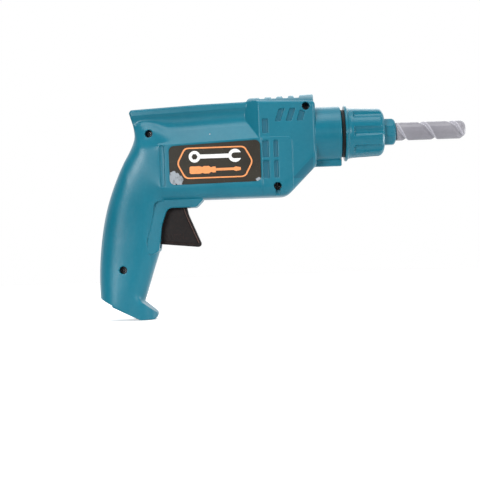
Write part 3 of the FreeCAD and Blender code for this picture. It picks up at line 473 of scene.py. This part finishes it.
def moulded_copy(node_name, voxel, passes, keep, zone=None, zone_passes=0):
    """A CAD node's shape with the small rounded edges of a moulding, in its place.

    It is rebuilt in voxels of this many millimetres and smoothed in this many passes, more
    of them in the zone, and keeps this share of its triangles.
    """
    node = NODES[node_name]
    mesh = node.data.copy()
    shape = bmesh.new()
    shape.from_mesh(mesh)
    bmesh.ops.remove_doubles(shape, verts=shape.verts, dist=0.0005 * MM)
    shape.to_mesh(mesh)
    shape.free()
    piece = bpy.data.objects.new(node_name + "_moulding", mesh)
    bpy.context.scene.collection.objects.link(piece)
    remesh = piece.modifiers.new("skin", "REMESH")
    remesh.mode = "VOXEL"
    remesh.voxel_size = voxel * MM
    piece.data = evaluated_mesh(piece)
    piece.modifiers.clear()
    smooth = piece.modifiers.new("edges", "SMOOTH")
    smooth.factor = 0.5
    smooth.iterations = passes
    if zone:
        points = np.empty(len(piece.data.vertices) * 3)
        piece.data.vertices.foreach_get("co", points)
        weight = zone(points.reshape(-1, 3) / MM)
        group = piece.vertex_groups.new(name="flow")
        for level in range(1, 11):
            chosen = np.nonzero(np.round(weight * 10.0) == level)[0]
            group.add(chosen.tolist(), level / 10.0, "REPLACE")
        flow = piece.modifiers.new("flow", "SMOOTH")
        flow.factor = 0.5
        flow.iterations = zone_passes
        flow.vertex_group = group.name
    thin = piece.modifiers.new("thin", "DECIMATE")
    thin.ratio = keep
    piece.data = evaluated_mesh(piece)
    piece.modifiers.clear()
    piece.vertex_groups.clear()
    piece.data.shade_smooth()
    piece.data.materials.clear()
    piece.data.materials.append(node.data.materials[0])
    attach(piece, node["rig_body"])
    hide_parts(node_name)


# ---------------------------------------------------------------- bit
def flute_depth(along):
    """How deep the flute is, in mm, this far past its middle along the axis."""
    slope_in = np.clip((along + 3.2) / 3.9, 0.0, 1.0)
    slope_out = np.clip((2.2 - along) / 1.4, 0.0, 1.0)
    cut = np.minimum(slope_in, slope_out)
    return FLUTE_DEPTH * cut * cut * (3.0 - 2.0 * cut)


def bit_radius(x, angle):
    """Radius of the fluted part of the bit, with its rounded tip and its parting line."""
    nose_start = BIT_TIP_X - TIP_ROUND
    into_nose = np.clip(x - nose_start, 0.0, TIP_ROUND)
    body = BIT_RADIUS - TIP_ROUND + np.sqrt(np.maximum(TIP_ROUND ** 2 - into_nose ** 2, 0.0))
    turns = (x - FLUTE_MIDDLE_X) / FLUTE_PITCH - angle / (2 * pi)
    along = (turns - np.round(turns)) * FLUTE_PITCH
    body = body - flute_depth(along) * np.clip((BIT_TIP_X - x) / 3.0, 0.0, 1.0)
    from_seam = np.abs((angle + SEAM_ANGLE + pi / 2) % pi - pi / 2)
    return body + 0.09 * np.exp(-(from_seam * BIT_RADIUS / 0.22) ** 2)


def make_bit():
    """Blunt drill bit with one coarse right-handed flute and a moulding seam."""
    around, along = 144, 300
    angles = np.linspace(0.0, 2 * pi, around, endpoint=False)
    front = BIT_TIP_X - 0.04
    spaced = 1.0 - (1.0 - np.linspace(0.0, 1.0, along)) ** 1.25
    rings = [(BIT_REAR_X, SHANK_RADIUS), (BIT_SHOULDER_X, SHANK_RADIUS),
             (BIT_SHOULDER_X, BIT_RADIUS - 0.5)]
    rings += [(BIT_SHOULDER_X + 0.5 + (front - BIT_SHOULDER_X - 0.5) * share, None)
              for share in spaced]
    points = [(BIT_REAR_X, 0.0, 0.0)]
    for x, radius in rings:
        reach = bit_radius(x, angles) if radius is None else np.full(around, radius)
        points += [(x, -r * cos(a), -r * sin(a)) for r, a in zip(reach, angles)]
    points.append((BIT_TIP_X, 0.0, 0.0))
    faces = []
    last = len(points) - 1
    for step in range(around):
        after = (step + 1) % around
        faces.append((0, 1 + step, 1 + after))
        for ring in range(len(rings) - 1):
            here, there = 1 + ring * around, 1 + (ring + 1) * around
            faces.append((here + step, there + step, there + after, here + after))
        end = 1 + (len(rings) - 1) * around
        faces.append((last, end + after, end + step))
    mesh = bpy.data.meshes.new("drill_bit_fluted")
    mesh.from_pydata([Vector(point) * MM for point in points], [], faces)
    mesh.update()
    shape = bmesh.new()
    shape.from_mesh(mesh)
    bmesh.ops.recalc_face_normals(shape, faces=shape.faces)
    shape.to_mesh(mesh)
    shape.free()
    mesh.shade_smooth()
    mesh.materials.append(NODES["drill_bit"].data.materials[0])
    piece = bpy.data.objects.new("drill_bit_fluted", mesh)
    bpy.context.scene.collection.objects.link(piece)
    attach(piece, "chuck")
    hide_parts("drill_bit")


# ---------------------------------------------------------------- trigger beads
def trigger_beads(name, side, paths, radius, height, material):
    """Round beads that stand a little way out of one side of the trigger."""
    low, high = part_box("trigger")
    face = low.y if side < 0 else high.y
    curve = bpy.data.curves.new(name, "CURVE")
    curve.dimensions = "3D"
    curve.bevel_depth = radius * MM
    curve.bevel_resolution = 2
    curve.use_fill_caps = True
    for path in paths:
        spline = curve.splines.new("NURBS")
        spline.points.add(len(path) - 1)
        for point, (x, z) in zip(spline.points, path):
            point.co = (x * MM, face + side * (height - radius) * MM, z * MM, 1.0)
        spline.order_u = 3
        spline.use_endpoint_u = True
    maker = bpy.data.objects.new(name + "_curve", curve)
    mesh = bpy.data.meshes.new_from_object(maker)
    bpy.data.objects.remove(maker)
    mesh.shade_smooth()
    mesh.materials.append(material)
    piece = bpy.data.objects.new(name, mesh)
    bpy.context.scene.collection.objects.link(piece)
    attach(piece, "trigger")


def trigger_details():
    """A brown bead down the front rim, a dark one along the foot, and low upright marks."""
    brown = printing_ink("rim_brown", (0.085, 0.036, 0.024), (0.020, 0.012, 0.010))
    black = NODES["trigger"].data.materials[0]
    front = [(-111.9, -52.2), (-111.0, -56.2), (-108.8, -61.5), (-101.4, -79.0)]
    foot = [(-102.6, -80.1), (-105.2, -79.8), (-118.0, -78.4), (-131.0, -77.0)]
    marks = []
    for number in range(6):
        x = -125.0 + 2.4 * number
        marks.append([(x, -75.4), (x + 0.1, -73.6), (x + 0.2, -71.8)])
    for word, side in SIDES:
        trigger_beads(f"{word}_trigger_rim", side, [front], 0.30, 0.20, brown)
        trigger_beads(f"{word}_trigger_foot_rim", side, [foot], 0.30, 0.16, black)
        trigger_beads(f"{word}_trigger_marks", side, marks, 0.40, 0.13, black)


# ---------------------------------------------------------------- label printing
def arc(centre_x, centre_z, radius, start, end, steps):
    """Points on an arc between two angles in degrees."""
    angles = [radians(start + (end - start) * step / steps) for step in range(steps + 1)]
    return [(centre_x + radius * cos(angle), centre_z + radius * sin(angle))
            for angle in angles]


def softened(corners, radius, steps=8):
    """A closed outline with each corner rounded by a curve of the given reach."""
    points = []
    for number, corner in enumerate(corners):
        corner = Vector(corner)
        before = Vector(corners[number - 1]) - corner
        after = Vector(corners[(number + 1) % len(corners)]) - corner
        first = corner + before.normalized() * radius
        last = corner + after.normalized() * radius
        for step in range(steps + 1):
            share = step / steps
            point = first.lerp(corner, share).lerp(corner.lerp(last, share), share)
            points.append(tuple(point))
    return points


def badge_outline(half_length, half_height, shoulder, reach):
    """A long hexagon lying on its side."""
    return softened([(half_length, 0.0), (half_length - shoulder, half_height),
                     (shoulder - half_length, half_height), (-half_length, 0.0),
                     (shoulder - half_length, -half_height),
                     (half_length - shoulder, -half_height)], reach)


def spanner_outline(middle_z):
    """A combination spanner: a ring at the left, a shank and an open jaw at the right."""
    ring_x, ring, jaw_x, jaw, shank, mouth = -15.0, 4.3, 15.0, 4.9, 1.5, 2.2
    ring_angle = asin(shank / ring) * 180 / pi
    jaw_angle = asin(shank / jaw) * 180 / pi
    mouth_angle = asin(mouth / jaw) * 180 / pi
    outline = arc(ring_x, middle_z, ring, ring_angle, 360 - ring_angle, 40)
    outline += arc(jaw_x, middle_z, jaw, 180 + jaw_angle, 360 - mouth_angle, 24)
    outline += arc(jaw_x - 0.4, middle_z, mouth, 270, 90, 16)
    outline += arc(jaw_x, middle_z, jaw, mouth_angle, 180 - jaw_angle, 24)
    hole = arc(ring_x, middle_z, 2.3, 0, 300, 5)
    return [outline, hole]


def screwdriver_outline(middle_z):
    """A screwdriver: a fluted handle at the left, a collar, a blade and a flat tip."""
    half = [(-19.0, 0.0), (-19.0, 1.9), (-18.2, 2.8), (-11.0, 2.8), (-9.6, 2.2), (-8.2, 2.8),
            (-4.6, 2.8), (-3.4, 1.8), (-2.4, 1.8), (-1.8, 2.2), (0.2, 2.2), (0.6, 0.95),
            (13.5, 0.95), (15.4, 1.7), (19.0, 1.0), (19.0, 0.0)]
    upper = [(x, middle_z + z) for x, z in half[1:-1]]
    lower = [(x, middle_z - z) for x, z in reversed(half[1:-1])]
    return [upper + lower]


def printed_piece(name, side, loops, material, lift):
    """A thin raised print on the label of one side, from outlines in millimetres."""
    low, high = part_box(f"{name.split('_')[0]}_label")
    centre = (low + high) / 2
    face = low.y if side < 0 else high.y
    curve = bpy.data.curves.new(name, "CURVE")
    curve.dimensions = "2D"
    curve.fill_mode = "BOTH"
    curve.extrude = lift / 2
    for loop in loops:
        spline = curve.splines.new("POLY")
        spline.points.add(len(loop) - 1)
        for point, (x, z) in zip(spline.points, loop):
            point.co = (-side * x * MM, z * MM, 0.0, 1.0)
        spline.use_cyclic_u = True
    maker = bpy.data.objects.new(name + "_curve", curve)
    mesh = bpy.data.meshes.new_from_object(maker)
    bpy.data.objects.remove(maker)
    # The drawing plane turns to face outwards: its x runs along the case and its y runs up.
    turn = Matrix.Rotation(pi / 2, 4, "X") if side < 0 else (
        Matrix.Rotation(pi, 4, "Z") @ Matrix.Rotation(pi / 2, 4, "X"))
    mesh.transform(Matrix.Translation((centre.x, face + side * lift * 0.5, centre.z)) @ turn)
    mesh.materials.append(material)
    piece = bpy.data.objects.new(name, mesh)
    bpy.context.scene.collection.objects.link(piece)
    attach(piece, "case")


def print_labels():
    """A plain badge with two tool pictures on the label of each side."""
    orange = printing_ink("orange_ink", ORANGE, (0.30, 0.13, 0.05))
    white = printing_ink("white_ink", WHITE, (0.30, 0.28, 0.25))
    lift = 0.03 * MM
    for word, side in SIDES:
        outer = badge_outline(28.5, 11.6, 6.0, 3.0)
        inner = badge_outline(27.3, 10.6, 5.6, 2.6)
        printed_piece(f"{word}_badge_border", side, [outer, inner], orange, lift)
        printed_piece(f"{word}_badge_spanner", side, spanner_outline(4.7), white, lift)
        printed_piece(f"{word}_badge_screwdriver", side, screwdriver_outline(-5.2), orange, lift)


# ---------------------------------------------------------------- room, light and camera
def make_floor():
    """The pale surface that the drill stands on, a hair under its lowest point."""
    low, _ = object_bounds()
    half = 3.0
    mesh = bpy.data.meshes.new("floor")
    mesh.from_pydata([(-half, -half, 0), (half, -half, 0), (half, half, 0), (-half, half, 0)],
                     [], [(0, 1, 2, 3)])
    floor = bpy.data.objects.new("floor", mesh)
    floor.location = (0.0, 0.0, low.z - 0.0003)
    mesh.materials.append(floor_paper())
    bpy.context.scene.collection.objects.link(floor)


def make_world():
    """Soft light, brighter from the white backdrop behind; the camera sees plain white."""
    world = bpy.data.worlds.new("studio")
    world.use_nodes = True
    tree = world.node_tree
    tree.nodes.clear()
    seen = add(tree, "Background", {"Color": (1.0, 1.0, 1.0, 1.0), "Strength": 1.0})
    ahead = add(tree, "SeparateXYZ", {"Vector": add(tree, "TexCoord").outputs["Generated"]})
    strength = spread(tree, ahead.outputs["Y"], -0.35, 0.45, 0.17, 1.05)
    lighting = add(tree, "Background", {"Color": (0.94, 0.97, 1.0, 1.0), "Strength": strength})
    path = add(tree, "LightPath").outputs["Is Camera Ray"]
    choice = add(tree, "MixShader", {0: path, 1: lighting.outputs[0], 2: seen.outputs[0]})
    output = add(tree, "OutputWorld")
    tree.links.new(choice.outputs[0], output.inputs["Surface"])
    bpy.context.scene.world = world


def area_light(name, place, aim, size, power):
    """A rectangular lamp at a place in metres, turned towards its aim, with power in watts."""
    light = bpy.data.lights.new(name, "AREA")
    light.shape = "RECTANGLE"
    light.size, light.size_y = size
    light.energy = power
    lamp = bpy.data.objects.new(name, light)
    place, aim = Vector(place), Vector(aim)
    lamp.location = place
    lamp.rotation_euler = (aim - place).to_track_quat("-Z", "Y").to_euler()
    bpy.context.scene.collection.objects.link(lamp)


def make_lights():
    """Broad soft lamps above, in front of, beside and behind the drill."""
    middle = VIEW_CENTRE + Vector((0.0, 0.0, 0.05))
    area_light("overhead", (-0.10, -0.30, 0.98), middle, (1.3, 0.6), 10.0)
    area_light("front_left", (-0.60, -1.15, 0.16), middle, (0.45, 0.35), 9.5)
    area_light("front_right", (0.85, -0.95, 0.18), middle, (0.5, 0.4), 6.0)
    area_light("front_soft", (0.20, -1.15, 0.10), middle, (0.3, 0.3), 0.45)
    area_light("low_right", (0.75, 0.15, -0.08), middle, (0.5, 0.3), 3.0)
    area_light("behind", (0.1, 1.2, 0.7), middle, (1.2, 0.9), 5.0)


def make_camera():
    """Level and square to the right side, rolled a little, as in the photograph."""
    right = Vector((cos(VIEW_ROLL), 0.0, -sin(VIEW_ROLL)))
    up = Vector((sin(VIEW_ROLL), 0.0, cos(VIEW_ROLL)))
    back = Vector((0.0, -1.0, 0.0))
    turn = Matrix((right, up, back)).transposed().to_4x4()
    data = bpy.data.cameras.new("camera")
    data.sensor_width = SENSOR
    data.lens = SENSOR * VIEW_DISTANCE / VIEW_WIDTH
    camera = bpy.data.objects.new("camera", data)
    camera.matrix_world = Matrix.Translation(VIEW_CENTRE + back * VIEW_DISTANCE) @ turn
    bpy.context.scene.collection.objects.link(camera)
    bpy.context.scene.camera = camera


finish_nodes()
for word, _ in SIDES:
    moulded_copy(f"{word}_shell", 0.34, 2, 0.25, case_blend, 800)
moulded_copy("trigger", 0.30, 3, 0.4)
moulded_copy("chuck_sleeve", 0.30, 2, 0.4)
moulded_copy("chuck_core", 0.25, 2, 0.4)
make_bit()
trigger_details()
print_labels()
make_world()
make_lights()
make_camera()
make_floor()
bpy.context.scene.view_settings.view_transform = "Standard"
